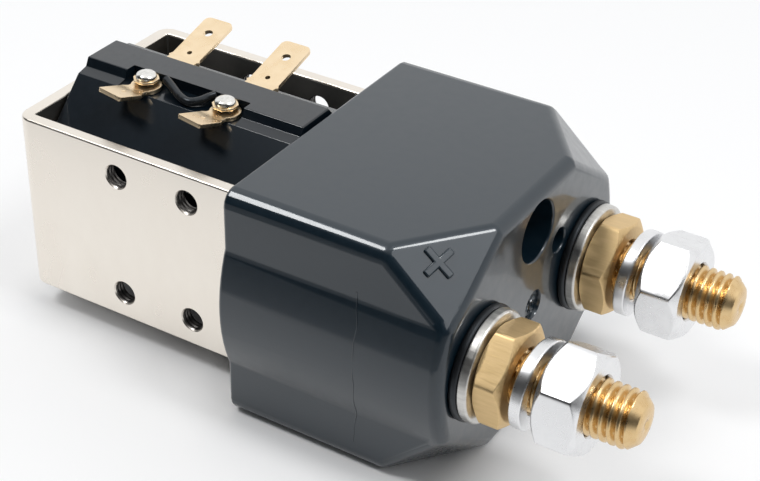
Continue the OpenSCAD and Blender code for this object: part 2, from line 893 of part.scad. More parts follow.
module front_steel_nut() {
    steel_nut(-1, front_steel_turn);
}

module rear_steel_nut() {
    steel_nut(1, rear_steel_turn);
}

// Coil terminals

// Eye on the ledge, bent up into a tab that points forwards
module front_tab(i) {
    bend_y = eye_r * bend_share;
    color("tan") placed() translate([tab_first_x + i * tab_pitch, 0, 0]) difference() {
        union() {
            translate([eye_x_shift, -eye_y, eye_z0]) cylinder(r = eye_r, h = tab_t);
            translate([eye_x_shift, -eye_y, eye_z0]) rotate([0, 0, -tab_turn]) {
                translate([-tab_w / 2, -eye_r * neck_share, 0]) cube([tab_w, eye_r * neck_share, tab_t]);
                translate([0, -bend_y, 0]) rotate([-tab_tilt, 0, 0])
                    translate([-tab_w / 2, bend_y - tab_reach, 0])
                    cube([tab_w, tab_reach - bend_y, tab_t]);
            }
        }
        translate([0, -rivet_y, eye_z0 - over]) cylinder(r = rivet_r + run_fit, h = tab_t + 2 * over);
        translate([eye_x_shift, -eye_y, eye_z0]) rotate([0, 0, -tab_turn]) rotate([-tab_tilt, 0, 0])
            translate([0, -tab_reach * dimple_share, tab_t * (1 - dimple_depth_share)])
            cylinder(r = dimple_r, h = tab_t);
    }
}

module left_front_tab() {
    front_tab(0);
}

module right_front_tab() {
    front_tab(1);
}

// Octagon washer on a short post, which lifts the rivet's head above the eye
module terminal_collars() {
    color("goldenrod") placed() for (i = [0, 1]) {
        translate([tab_first_x + i * tab_pitch, -rivet_y, eye_z1]) difference() {
            union() {
                cylinder(r = collar_post_r, h = collar_lift + collar_t / 2);
                translate([0, 0, collar_lift]) cylinder(r = collar_r, h = collar_t, $fn = 8);
            }
            translate([0, 0, -over]) cylinder(r = rivet_r + run_fit, h = collar_lift + collar_t + 2 * over);
        }
    }
}

module terminal_rivets() {
    head_r = rivet_head_d / 2;
    ball_r = (head_r * head_r + rivet_head_t * rivet_head_t) / (2 * rivet_head_t);
    color("whitesmoke") placed() for (i = [0, 1]) {
        translate([tab_first_x + i * tab_pitch, -rivet_y, 0]) {
            translate([0, 0, ledge_z - rivet_deep + slack])
                cylinder(r = rivet_r, h = collar_z1 - ledge_z + rivet_deep);
            translate([0, 0, collar_z1]) intersection() {
                translate([0, 0, rivet_head_t - ball_r]) sphere(r = ball_r);
                cylinder(r = 2 * head_r, h = 2 * rivet_head_t);
            }
        }
    }
}

// Push-on blade with rounded corners, a latch hole and a tail held in the ridge
module rear_blade(i) {
    color("wheat") placed()
        translate([tab_first_x + blade_x_shift + i * tab_pitch, ridge_y + riser_y, blade_z]) {
        translate([-blade_w / 2, -riser_y - blade_tail + run_fit, 0])
            cube([blade_w, riser_y + blade_tail, tab_t]);
        rotate([blade_tilt, 0, 0]) difference() {
            union() {
                translate([-blade_w / 2, -tab_t / 3, 0])
                    cube([blade_w, blade_reach - blade_corner_r + tab_t / 3, tab_t]);
                translate([-blade_w / 2 + blade_corner_r, 0, 0])
                    cube([blade_w - 2 * blade_corner_r, blade_reach, tab_t]);
                for (side = [-1, 1]) {
                    translate([side * (blade_w / 2 - blade_corner_r), blade_reach - blade_corner_r, 0])
                        cylinder(r = blade_corner_r, h = tab_t);
                }
            }
            translate([0, blade_hole_share * blade_reach, -over])
                cylinder(r = blade_hole_r, h = tab_t + 2 * over);
            translate([0, blade_pin_share * blade_reach, -over])
                cylinder(r = blade_pin_r, h = tab_t + 2 * over);
        }
    }
}

module left_rear_blade() {
    rear_blade(0);
}

module right_rear_blade() {
    rear_blade(1);
}

// Round sleeve along a smooth route
module jumper_lead() {
    route = [for (s = lead_route_shares)
        [tab_first_x + s[0] * tab_pitch, -s[1] * ledge_y, ledge_z + s[2] * lead_d]];
    n = len(route);
    function stop(k) = route[min(max(k, 0), n - 1)];
    path = [for (k = [0:n - 2], j = [0:lead_steps - 1])
        smooth(stop(k - 1), stop(k), stop(k + 1), stop(k + 2), j / lead_steps)];
    line = concat(path, [route[n - 1]]);
    m = len(line);
    function ahead(k) = line[min(k + 1, m - 1)] - line[max(k - 1, 0)];
    function side(k) = cross(ahead(k), [0, 0, 1]) / norm(cross(ahead(k), [0, 0, 1]));
    function up(k) = cross(side(k), ahead(k)) / norm(cross(side(k), ahead(k)));
    points = [for (k = [0:m - 1], j = [0:lead_sides - 1]) let (a = 360 * j / lead_sides)
        line[k] + lead_r * (cos(a) * side(k) + sin(a) * up(k))];
    walls = [for (k = [0:m - 2], j = [0:lead_sides - 1]) let (q = (j + 1) % lead_sides) each [
        [k * lead_sides + j, k * lead_sides + q, (k + 1) * lead_sides + q],
        [k * lead_sides + j, (k + 1) * lead_sides + q, (k + 1) * lead_sides + j]
    ]];
    first_cap = [for (j = [1:lead_sides - 2]) [0, j + 1, j]];
    far = (m - 1) * lead_sides;
    last_cap = [for (j = [1:lead_sides - 2]) [far, far + j, far + j + 1]];
    color("black") placed() polyhedron(points, concat(walls, first_cap, last_cap));
}

yoke();
pole_plate();
fixed_core();
guide_tube();
bobbin();
winding();
coil_jacket();
plunger();
push_rod();
return_spring();
buffer_washer();
spring_seat();
contact_spring();
bridge_insulator();
contact_bridge();
bridge_tips();
rod_clip();
cover();
cover_gasket();
cover_screws();
front_magnet();
rear_magnet();
front_stud();
rear_stud();
stud_tips();
front_seal();
front_flat_washer();
front_brass_nut();
front_lock_washer();
front_steel_nut();
rear_seal();
rear_flat_washer();
rear_brass_nut();
rear_lock_washer();
rear_steel_nut();
left_front_tab();
right_front_tab();
terminal_collars();
terminal_rivets();
left_rear_blade();
right_rear_blade();
jumper_lead();
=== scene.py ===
"""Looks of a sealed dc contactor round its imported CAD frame, photographed on a white floor.

The frame, its boxes and the camera are in metres and in the row frame. Meshes are made in
millimetres, with x counted from the closed end of the yoke and y and z from the coil's axis,
and are moved to the row frame as the last thing.
"""
import json
import math

import bmesh
import bpy
from mathutils import Matrix, Vector

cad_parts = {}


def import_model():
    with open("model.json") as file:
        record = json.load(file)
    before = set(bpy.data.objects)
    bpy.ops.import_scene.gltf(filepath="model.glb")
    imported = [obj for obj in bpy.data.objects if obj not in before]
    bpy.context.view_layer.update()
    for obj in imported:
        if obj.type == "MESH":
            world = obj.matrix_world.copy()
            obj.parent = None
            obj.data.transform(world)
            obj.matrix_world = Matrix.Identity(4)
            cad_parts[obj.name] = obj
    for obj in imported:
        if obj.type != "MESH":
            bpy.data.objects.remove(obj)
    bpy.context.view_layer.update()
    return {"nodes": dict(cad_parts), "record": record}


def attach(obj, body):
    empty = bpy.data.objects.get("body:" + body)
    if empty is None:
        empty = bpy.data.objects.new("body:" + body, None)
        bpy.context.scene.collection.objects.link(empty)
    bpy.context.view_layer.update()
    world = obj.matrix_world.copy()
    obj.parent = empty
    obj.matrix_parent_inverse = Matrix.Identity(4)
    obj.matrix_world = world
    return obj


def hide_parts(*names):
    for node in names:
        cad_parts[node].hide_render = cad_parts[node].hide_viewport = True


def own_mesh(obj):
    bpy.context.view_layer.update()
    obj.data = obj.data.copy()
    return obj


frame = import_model()

# Sizes that several pieces share, in millimetres, as the CAD has them
HALF_LEN, AXIS_Z = 63.0, 22.85
YOKE_Y, YOKE_Z, YOKE_T, YOKE_LEN = 22.0, 18.0, 2.5, 53.4
HOLE_XS, HOLE_Z, HOLE_R = (22.9, 38.5), 12.5, 2.1
POLE_X1, GASKET_X1 = 56.9, 57.5
COVER_X0, COVER_X1, COVER_Y, COVER_Z = 51.8, 95.7, 29.25, 22.85
FLANK_R, COVER_WALL = 31.6, 3.0
FACET = (13.9, 17.85, 12.45)
CHAMBER_X, CHAMBER_Y, CHAMBER_Z = 90.0, 24.25, 17.85
SCREW_Z, WELL_R, WELL_X = 15.0, 5.6, 84.7
STUD_Y, STUD_R, STUD_END, PITCH = 19.1, 5.0, 126.0, 1.5
RIDGE_Z, LEDGE_Z = 23.2, 21.1
TAB_XS, TAB_T = (16.8, 34.6), 0.8
RIVET_Y = -4.6

TO_ROW = Matrix.Scale(0.001, 4) @ Matrix.Translation((-HALF_LEN, 0, AXIS_Z))


# Meshes

def shell(rows, loop=False, caps=False):
    """Skin over rows of points. A row of one point is a tip; loop joins the last row to the first."""
    bm = bmesh.new()
    made = [[bm.verts.new(p) for p in row] for row in rows]
    pairs = list(zip(made, made[1:])) + ([(made[-1], made[0])] if loop else [])
    for a, b in pairs:
        n = max(len(a), len(b))
        for i in range(n):
            j = (i + 1) % n
            if len(a) == 1:
                bm.faces.new((a[0], b[j], b[i]))
            elif len(b) == 1:
                bm.faces.new((a[i], a[j], b[0]))
            else:
                bm.faces.new((a[i], a[j], b[j], b[i]))
    if caps:
        bm.faces.new(made[0][::-1])
        bm.faces.new(made[-1])
    bmesh.ops.recalc_face_normals(bm, faces=bm.faces)
    return bm


def ring(x, r, centre=(0, 0), steps=72):
    """Points round an axis along x, or its one point on the axis for a radius of 0."""
    turns = [2 * math.pi * k / steps for k in range(steps if r > 0 else 1)]
    return [(x, centre[0] + r * math.cos(a), centre[1] + r * math.sin(a)) for a in turns]


def lathe(profile, centre=(0, 0), steps=72, loop=False):
    """Profile of (x, radius) turned about an axis along x. A radius of 0 is a tip on the axis."""
    return shell([ring(x, r, centre, steps) for x, r in profile], loop)


def rod(x0, x1, r, centre=(0, 0), steps=48):
    """Round bar along x."""
    return lathe([(x0, 0), (x0, r), (x1, r), (x1, 0)], centre, steps)


def upright(profile, x, y, steps=40):
    """Profile of (z, radius) turned about an upright axis."""
    bm = lathe(profile, steps=steps)
    bm.transform(Matrix.Translation((x, y, 0)) @ Matrix.Rotation(math.radians(-90), 4, "Y"))
    return bm


def rounded(corners, steps=4):
    """Outline of (u, v, radius) corners, each turned into an arc of that radius."""
    out = []
    for k, (u, v, r) in enumerate(corners):
        p = Vector((u, v))
        if r <= 0:
            out.append(p)
            continue
        a = (Vector(corners[k - 1][:2]) - p).normalized()
        b = (Vector(corners[(k + 1) % len(corners)][:2]) - p).normalized()
        half = math.acos(max(-1, min(1, a.dot(b)))) / 2
        centre = p + (a + b).normalized() * r / math.sin(half)
        first = p + a * r / math.tan(half) - centre
        last = p + b * r / math.tan(half) - centre
        swing = math.atan2(first.x * last.y - first.y * last.x, first.dot(last))
        for i in range(steps + 1):
            out.append(centre + Matrix.Rotation(swing * i / steps, 2) @ first)
    return out


def plate(half_u, half_v, r, centre=(0, 0)):
    """Outline of a rectangle whose corners have the radius r."""
    u, v = centre
    return rounded([(u - half_u, v - half_v, r), (u + half_u, v - half_v, r),
                    (u + half_u, v + half_v, r), (u - half_u, v + half_v, r)])


def prism(outline, low, high, r=0.0, steps=3):
    """Outline in (u, v), counter-clockwise, drawn from low to high along w with edges rounded by r."""
    points = [Vector(p[:2]) for p in outline]
    inward = []
    for k, p in enumerate(points):
        a = (p - points[k - 1]).normalized()
        b = (points[(k + 1) % len(points)] - p).normalized()
        na, nb = Vector((-a.y, a.x)), Vector((-b.y, b.x))
        inward.append((na + nb) / (1 + na.dot(nb)))
    levels = [(low, 0), (high, 0)]
    if r > 0:
        turns = [math.pi / 2 * k / steps for k in range(steps + 1)]
        levels = [(low + r * (1 - math.cos(t)), r * (1 - math.sin(t))) for t in turns]
        levels += [(high - r * (1 - math.cos(t)), r * (1 - math.sin(t))) for t in reversed(turns)]
    rows = [[(*(p + n * d), w) for p, n in zip(points, inward)] for w, d in levels]
    return shell(rows, caps=True)


def along_x(bm):
    """Turns a prism in (y, z, x) so that it runs along x."""
    bm.transform(Matrix(((0, 0, 1, 0), (1, 0, 0, 0), (0, 1, 0, 0), (0, 0, 0, 1))))
    return bm


def box(low, high):
    """Box between two corners."""
    (x0, y0, z0), (x1, y1, z1) = low, high
    return prism([(x0, y0), (x1, y0), (x1, y1), (x0, y1)], z0, z1)


def geometry(bm):
    """Everything in a mesh, as bmesh's cuts take it."""
    return bm.verts[:] + bm.edges[:] + bm.faces[:]


def clip(bm, point, normal):
    """Cuts away what lies beyond the plane, and closes the cut."""
    bmesh.ops.bisect_plane(bm, geom=geometry(bm), plane_co=point, plane_no=normal, clear_outer=True)
    bmesh.ops.holes_fill(bm, edges=[e for e in bm.edges if e.is_boundary])


def to_mesh(bm, name="part"):
    """Mesh data made from bm, which is freed."""
    mesh = bpy.data.meshes.new(name)
    bm.to_mesh(mesh)
    bm.free()
    return mesh


def to_object(data, name="part"):
    """Object of the scene that shows data."""
    o = bpy.data.objects.new(name, data)
    bpy.context.scene.collection.objects.link(o)
    return o


def join(*parts):
    """Several meshes as one."""
    bm = bmesh.new()
    for part in parts:
        mesh = to_mesh(part)
        bm.from_mesh(mesh)
        bpy.data.meshes.remove(mesh)
    return bm


def boolean(bm, tools, operation="DIFFERENCE"):
    """bm with every tool cut from it or added to it."""
    objects = [to_object(to_mesh(part)) for part in [bm, *tools]]
    for tool in objects[1:]:
        modifier = objects[0].modifiers.new("cut", "BOOLEAN")
        modifier.operation = operation
        modifier.solver = "EXACT"
        modifier.object = tool
    result = bmesh.new()
    result.from_object(objects[0], bpy.context.evaluated_depsgraph_get())
    for o in objects:
        mesh = o.data
        bpy.data.objects.remove(o)
        bpy.data.meshes.remove(mesh)
    bmesh.ops.remove_doubles(result, verts=result.verts, dist=0.0005)
    return result


def ball_hull(balls, also):
    """Hull of balls given as (centre, radius): a solid whose edges are rounded by the balls.

    Each ball has points on its rings, and in the directions given by also, so that flat faces
    which face those ways stay exact.
    """
    rings = 14
    ways = [Vector((0, 0, 1)), Vector((0, 0, -1)), *also]
    for i in range(1, rings):
        tilt = math.pi * i / rings
        for k in range(2 * rings):
            turn = math.pi * k / rings
            ways.append(Vector((math.sin(tilt) * math.cos(turn), math.sin(tilt) * math.sin(turn),
                                math.cos(tilt))))
    bm = bmesh.new()
    for centre, r in balls:
        for way in ways:
            bm.verts.new(Vector(centre) + way * r)
    made = bmesh.ops.convex_hull(bm, input=bm.verts[:], use_existing_faces=False)
    unused = made["geom_interior"] + made["geom_unused"]
    spare = {item for item in unused if isinstance(item, bmesh.types.BMVert)}
    bmesh.ops.delete(bm, geom=list(spare), context="VERTS")
    bmesh.ops.dissolve_limit(bm, angle_limit=math.radians(0.3), verts=bm.verts[:], edges=bm.edges[:])
    bmesh.ops.recalc_face_normals(bm, faces=bm.faces)
    return bm


def tube(path, r, sides):
    """Round bar along a path of points."""
    path = [Vector(p) for p in path]
    turns = [2 * math.pi * k / sides for k in range(sides)]
    rows = []
    up = Vector((0.1, 0.2, 1)).normalized()
    for k, p in enumerate(path):
        ahead = (path[min(k + 1, len(path) - 1)] - path[max(k - 1, 0)]).normalized()
        side = ahead.cross(up).normalized()
        up = side.cross(ahead)
        rows.append([p + r * (math.cos(a) * side + math.sin(a) * up) for a in turns])
    return shell(rows, caps=True)


def piece(name, bm, body, slot, material, nodes=(), sharp=32):
    """Turns a mesh in millimetres into a piece of the object that stands for CAD nodes."""
    bm.transform(TO_ROW)
    o = to_object(to_mesh(bm, name), name)
    mesh = o.data
    mesh.polygons.foreach_set("use_smooth", [True] * len(mesh.polygons))
    mesh.set_sharp_from_angle(angle=math.radians(sharp))
    weights = o.modifiers.new("weights", "WEIGHTED_NORMAL")
    weights.keep_sharp = True
    weights.weight = 70
    mesh.materials.append(material)
    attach(o, body)
    if nodes:
        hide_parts(*nodes)
    return o


# Materials

NOISE_SPAN = (0.3, 0.7)              # a look runs from its first to its second value over this part
BUMP_HEIGHT = 0.00005
PLASTIC_TINT = (0.82, 0.91, 1, 1)


def fill(tree, node, inputs):
    """Sets inputs of a node, given by name or number, or links them to sockets."""
    for key, value in inputs.items():
        if isinstance(value, bpy.types.NodeSocket):
            tree.links.new(value, node.inputs[key])
        else:
            node.inputs[key].default_value = value
    return node


def new_node(tree, kind, inputs=None):
    """Shader node of a kind with its inputs filled."""
    return fill(tree, tree.nodes.new("ShaderNode" + kind), inputs or {})


def surface(name, dark, light, rough, metal=0.0, grain=900.0, stretch=(1, 1, 1), bump=0.0,
            bump_grain=3000.0, coat=0.0, coat_rough=0.1, specular=0.5):
    """A noise shifts colour and roughness between two values, and a finer one raises the surface."""
    material = bpy.data.materials.new(name)
    material.use_nodes = True
    tree = material.node_tree
    place = new_node(tree, "TexCoord").outputs["Object"]
    place = new_node(tree, "Mapping", {"Vector": place, "Scale": stretch}).outputs["Vector"]
    noise = new_node(tree, "TexNoise", {"Vector": place, "Scale": grain, "Detail": 5}).outputs["Fac"]
    ramp = new_node(tree, "ValToRGB", {"Fac": noise})
    for stop, at, colour in zip(ramp.color_ramp.elements, NOISE_SPAN, (dark, light)):
        stop.position = at
        stop.color = (*colour, 1)
    span = new_node(tree, "MapRange", {"Value": noise, "From Min": NOISE_SPAN[0], "From Max": NOISE_SPAN[1],
                                       "To Min": rough[0], "To Max": rough[1]})
    shader = fill(tree, tree.nodes["Principled BSDF"], {
        "Base Color": ramp.outputs["Color"], "Roughness": span.outputs["Result"], "Metallic": metal,
        "Coat Weight": coat, "Coat Roughness": coat_rough, "Specular IOR Level": specular})
    if not metal:
        fill(tree, shader, {"Specular Tint": PLASTIC_TINT})
    if bump:
        fine = new_node(tree, "TexNoise", {"Vector": place, "Scale": bump_grain, "Detail": 3})
        raised = new_node(tree, "Bump", {"Height": fine.outputs["Fac"], "Strength": bump,
                                         "Distance": BUMP_HEIGHT})
        fill(tree, shader, {"Normal": raised.outputs["Normal"]})
    return material


def metallic(name, dark, light, rough, **more):
    """Surface of bare or plated metal."""
    return surface(name, dark, light, rough, metal=1.0, **more)


LOOKS = {
    "nickel_steel": metallic("nickel", (0.83, 0.775, 0.70), (0.89, 0.84, 0.765), (0.26, 0.34),
                             grain=120, stretch=(1, 1, 0.6), bump=0.04, bump_grain=4000),
    "bare_steel": metallic("bare_steel", (0.42, 0.42, 0.42), (0.5, 0.5, 0.49), (0.3, 0.45),
                           grain=700, stretch=(0.3, 1, 1), bump=0.3),
    "spring_steel": metallic("spring_steel", (0.3, 0.3, 0.31), (0.4, 0.4, 0.4), (0.3, 0.4), grain=1500),
    "zinc_plate": metallic("zinc", (0.77, 0.775, 0.785), (0.84, 0.845, 0.855), (0.25, 0.32),
                           grain=420, bump=0.05, bump_grain=4000),
    "dull_zinc": metallic("dull_zinc", (0.52, 0.51, 0.49), (0.72, 0.71, 0.68), (0.28, 0.42),
                          grain=1400, stretch=(0.15, 1, 1), bump=0.35, bump_grain=2500),
    "stud_brass": metallic("stud_brass", (0.66, 0.46, 0.23), (0.77, 0.57, 0.31), (0.24, 0.34),
                           grain=700, bump=0.05, bump_grain=4000),
    "nut_brass": metallic("nut_brass", (0.68, 0.49, 0.245), (0.78, 0.58, 0.315), (0.42, 0.54),
                          grain=1500, stretch=(0.15, 1, 1), bump=0.3, bump_grain=2500),
    "tab_brass": metallic("tab_brass", (0.89, 0.695, 0.45), (0.94, 0.765, 0.53), (0.24, 0.34),
                          grain=400, bump=0.04, bump_grain=4000),
    "rivet_tin": metallic("rivet_tin", (0.72, 0.71, 0.68), (0.88, 0.87, 0.84), (0.16, 0.3),
                          grain=1500, bump=0.2),
    "copper": metallic("copper", (0.78, 0.4, 0.25), (0.9, 0.52, 0.36), (0.2, 0.32)),
    "enamelled_wire": surface("wire", (0.4, 0.13, 0.05), (0.62, 0.26, 0.12), (0.25, 0.4), metal=0.6,
                              grain=1500, stretch=(1.5, 0.2, 0.2), bump=0.4),
    "silver": metallic("silver", (0.86, 0.85, 0.82), (0.93, 0.92, 0.9), (0.2, 0.3)),
    "cover_plastic": surface("cover_plastic", (0.002, 0.0095, 0.017), (0.0035, 0.012, 0.02), (0.32, 0.4),
                             grain=500, bump=0.05, bump_grain=6000,
                             coat=0.8, coat_rough=0.08, specular=0.4),
    "coil_plastic": surface("coil_plastic", (0.0025, 0.0062, 0.0105), (0.004, 0.008, 0.013), (0.36, 0.46),
                            bump=0.1, bump_grain=5000, coat=1.0, coat_rough=0.12, specular=0.12),
    "insulator": surface("insulator", (0.2, 0.07, 0.03), (0.28, 0.1, 0.05), (0.4, 0.55)),
    "black_rubber": surface("rubber", (0.004, 0.004, 0.005), (0.008, 0.008, 0.009), (0.35, 0.5), bump=0.2),
    "lead_sleeve": surface("lead_sleeve", (0.006, 0.007, 0.008), (0.01, 0.011, 0.013), (0.25, 0.38),
                           bump=0.1),
    "ferrite": surface("ferrite", (0.025, 0.025, 0.026), (0.045, 0.045, 0.045), (0.4, 0.55),
                       grain=1200, bump=0.3),
}
# Painted shade: darker metal on the walls of the yoke's threaded holes, where shade falls inside
HOLE_SHADE_METAL = metallic("hole_painted_shade", (0.10, 0.095, 0.09), (0.22, 0.21, 0.20), (0.3, 0.45))
# Painted shade: darker nickel on the yoke's inner faces, where shade falls between its walls and the jacket;
# the plating is the same as outside
YOKE_INSIDE_SHADE = metallic("inside_painted_shade", (0.32, 0.30, 0.27), (0.42, 0.39, 0.355), (0.34, 0.44), grain=120)

for part in frame["record"]["subparts"]:
    node = frame["nodes"][part["node"]]
    node.data.materials.clear()
    node.data.materials.append(LOOKS[part["material_slot"]])


def made_of(slot):
    """A slot's name and look, as piece() takes them."""
    return slot, LOOKS[slot]


# Cover: hulls of balls give its round edges, and turned tools its wells

FACET_SIGNS = [(sy, sz) for sy in (-1, 1) for sz in (-1, 1)]
COVER_MID = COVER_X0 + 12            # the end part of the block is taken from here, short of the facets
END_R, REAR_R, LONG_R = 2.4, 0.8, 3.0
FLANK_HALF_H = 13.2
BEYOND = 0.5                         # tools reach this far out of the end face
# Lips of the round wells, as (depth below the end face, growth of the radius)
WELL_LIP = ((0.5, 0), (0.3, 0.03), (0.12, 0.14), (-0.01, 0.35), (-BEYOND, 1.0))
VENT_LIP = ((0.4, 0), (0.15, 0.06), (-0.01, 0.2), (-BEYOND, 0.6))
VENT_R, VENT_DEEP, VENT_YZ = 2.3, 4.0, (8.4, 8.8)
# Rings of the gate's recess, as (radius, depth, roughness)
GATE = ((0.55, 0.75, 0.3), (1.1, 0.7, 0.32), (1.65, 0.75, 0.32), (2.2, 0.72, 0.25), (2.65, 0.8, 0),
        (2.75, 0.25, 0), (2.9, -0.01, 0), (3.4, -BEYOND, 0))
BOSS_R, SCREW_HOLE_R, WELL_WALL_R, WELL_FLOOR = 3.9, 2.2, 6.9, 1.5
PLUS_SHARES, PLUS_TURN = (0.42, 0.33, 0.25), 30


def facet_plane(sy, sz, inset):
    """A point on, and the normal of, the plane that cuts one corner of the cover's end."""
    normal = Vector((1 / FACET[0], sy / FACET[1], sz / FACET[2])).normalized()
    return Vector((COVER_X1 - FACET[0], sy * COVER_Y, sz * COVER_Z)) - normal * inset, normal


def cover_block(outline, x0, x1, inset):
    """Outline in (y, z) from x0 to x1 with the four corner facets, all moved in by inset."""
    bm = along_x(prism(outline, x0, x1))
    for sy, sz in FACET_SIGNS:
        clip(bm, *facet_plane(sy, sz, inset))
    return bm


def end_balls(outline, r):
    """Balls of radius r in the corners of the cover's end part."""
    bm = cover_block(outline, COVER_MID, COVER_X1 - r, r)
    corners = [v.co.copy() for v in bm.verts]
    bm.free()
    return [(p, r) for p in corners if p.x > COVER_MID + 0.1]


def rear_balls(outline, r):
    """Balls of radius r along the cover's edge over the yoke."""
    return [((COVER_X0 + r, y, z), r) for y, z in outline]


def block_outline(r):
    """Section of the cover's block, in which balls of radius r are laid."""
    return plate(COVER_Y - r, COVER_Z - r, LONG_R - r)


def flank_outline(r, depth, half_height):
    """Section of the -y flank, in which balls of radius r are laid, down to a depth in the block."""
    arc_r, y_in = FLANK_R - r, depth - COVER_Y
    top = math.asin(half_height / arc_r)
    turns = [top * (1 - k / 6) for k in range(13)]
    arc = [(-arc_r * math.cos(t), arc_r * math.sin(t)) for t in turns]
    return [(y_in, half_height), *arc, (y_in, -half_height)]


def cover_outside():
    """Block with four corner facets, and a flank that bulges from each long side."""
    facets = [facet_plane(sy, sz, 0)[1] for sy, sz in FACET_SIGNS]
    balls = end_balls(block_outline(END_R), END_R) + rear_balls(block_outline(REAR_R), REAR_R)
    body = ball_hull(balls, facets)
    balls = end_balls(flank_outline(END_R, 5.0, FLANK_HALF_H), END_R)
    balls += rear_balls(flank_outline(REAR_R, 3.4, FLANK_HALF_H - 0.6), REAR_R)
    flanks = [ball_hull([((x, side * y, z), r) for (x, y, z), r in balls], facets) for side in (1, -1)]
    return boolean(body, flanks, "UNION")


def well(x0, r, lip, centre, steps):
    """Round tool from x0 out through the cover's end."""
    mouth = [(COVER_X1 - depth, r + growth) for depth, growth in lip]
    return lathe([(x0, 0), (x0, r), *mouth, (COVER_X1 + BEYOND, 0)], centre, steps)


def gate_tool():
    """Shallow round recess whose floor is torn and rough where the moulding gate broke off."""
    steps = 32
    rows = [[(COVER_X1 - GATE[0][1], 0, 0)]]
    for r, depth, rough in GATE:
        row = []
        for k, (x, y, z) in enumerate(ring(COVER_X1 - depth, r, steps=steps)):
            tear = math.sin(7.1 * k + 5.3 * r) * math.sin(2.9 * k - 8.7 * r)
            row.append((x + rough * tear, y, z))
        rows.append(row)
    return shell([*rows, [(COVER_X1 + BEYOND, 0, 0)]])


def chamber_tool():
    """Room for the contacts, less the bosses round the cover screws and their wells."""
    room = cover_block(plate(CHAMBER_Y, CHAMBER_Z, 0), POLE_X1, CHAMBER_X, COVER_WALL)
    floor_x = WELL_X - WELL_FLOOR
    x0, x1 = 50.0, 99.0              # past both ends of the room
    boss = [(x0, 0), (x0, BOSS_R), (floor_x, BOSS_R), (floor_x, WELL_WALL_R), (x1, WELL_WALL_R), (x1, 0)]
    return boolean(room, [lathe(boss, (0, sz * SCREW_Z), 48) for sz in (-1, 1)])


def cover_tools():
    """What is cut from the cover: pocket, chamber, magnet slots, bores, wells, vent and gate."""
    pocket = plate(COVER_Y - COVER_WALL, COVER_Z - COVER_WALL, 1.5)
    tools = [along_x(prism(pocket, COVER_X0 - 1, GASKET_X1)), chamber_tool()]
    slot_x0, slot_in, slot_half, slot_z = 63.8, 2.0, 2.1, 8.1
    for side in (-1, 1):
        y = side * (CHAMBER_Y + slot_in)
        tools.append(box((slot_x0, y - slot_half, -slot_z), (CHAMBER_X, y + slot_half, slot_z)))
        tools.append(rod(CHAMBER_X - 1, COVER_X1 + 1.3, STUD_R + 0.05, (side * STUD_Y, 0)))
    for sz in (-1, 1):
        tools.append(well(WELL_X, WELL_R, WELL_LIP, (0, sz * SCREW_Z), 72))
        tools.append(rod(50.0, WELL_X + 1.3, SCREW_HOLE_R, (0, sz * SCREW_Z), 36))
    tools.append(well(COVER_X1 - VENT_DEEP, VENT_R, VENT_LIP, VENT_YZ, 48))
    tools.append(gate_tool())
    return tools


def plus_bars():
    """Two bars with round edges that stand up from the upper front facet."""
    a, b, c = PLUS_SHARES
    centre = Vector((COVER_X1 - FACET[0] * a, -COVER_Y + FACET[1] * b, COVER_Z - FACET[2] * c))
    normal = facet_plane(-1, 1, 0)[1]
    lean = (Matrix.Rotation(math.atan2(normal.y, normal.x), 4, "Z")
            @ Matrix.Rotation(math.acos(normal.z), 4, "Y"))
    bars = []
    for turn in (PLUS_TURN, PLUS_TURN + 90):
        bar = prism(plate(3.05, 0.66, 0.3), -1.0, 0.5, 0.28)
        bar.transform(Matrix.Translation(centre) @ lean @ Matrix.Rotation(math.radians(turn), 4, "Z"))
        bars.append(bar)
    return bars


def mould_line():
    """Thin raised line that the mould left across the front flank, given by marks of (z, x)."""
    marks = [(13.1, 78.3), (7.3, 79.3), (2.0, 79.0), (-3.0, 79.1), (-11.0, 78.6), (-18.7, 77.7)]
    r, steps = 0.11, 12
    path = []
    for (z0, x0), (z1, x1) in zip(marks, marks[1:]):
        for k in range(steps):
            t = k / steps
            z = z0 + (z1 - z0) * t
            y = max(COVER_Y, math.sqrt(max(FLANK_R ** 2 - z * z, 0)))
            path.append((x0 + (x1 - x0) * t + 0.08 * math.sin(z), -min(y - 0.03, FLANK_R - r), z))
    return tube(path, r, 8)


cover = boolean(boolean(cover_outside(), cover_tools()), plus_bars(), "UNION")
piece("moulded_cover", cover, "housing", *made_of("cover_plastic"), ["cover"])
piece("mould_line", mould_line(), "housing", *made_of("cover_plastic"), sharp=80)


# Yoke: the bent strip drawn up along z, with threaded holes

def yoke_hole():
    """Tool for one threaded hole through a side wall, turned about x before it is swung into y."""
    inside, outside, pitch = YOKE_Y - YOKE_T, YOKE_Y, 0.75
    profile = [(inside - 0.6, 0), (inside - 0.6, HOLE_R + 0.35), (inside, HOLE_R + 0.2)]
    for k in range(3):
        x = inside + 0.2 + pitch * k
        profile += [(x, HOLE_R), (x + 0.3, HOLE_R + 0.02), (x + 0.55, HOLE_R + 0.24)]
    profile += [(outside - 0.45, HOLE_R + 0.04), (outside - 0.25, HOLE_R + 0.14),
                (outside + 0.02, HOLE_R + 0.4), (outside + 0.4, HOLE_R + 0.8), (outside + 0.4, 0)]
    return lathe(profile, steps=40)


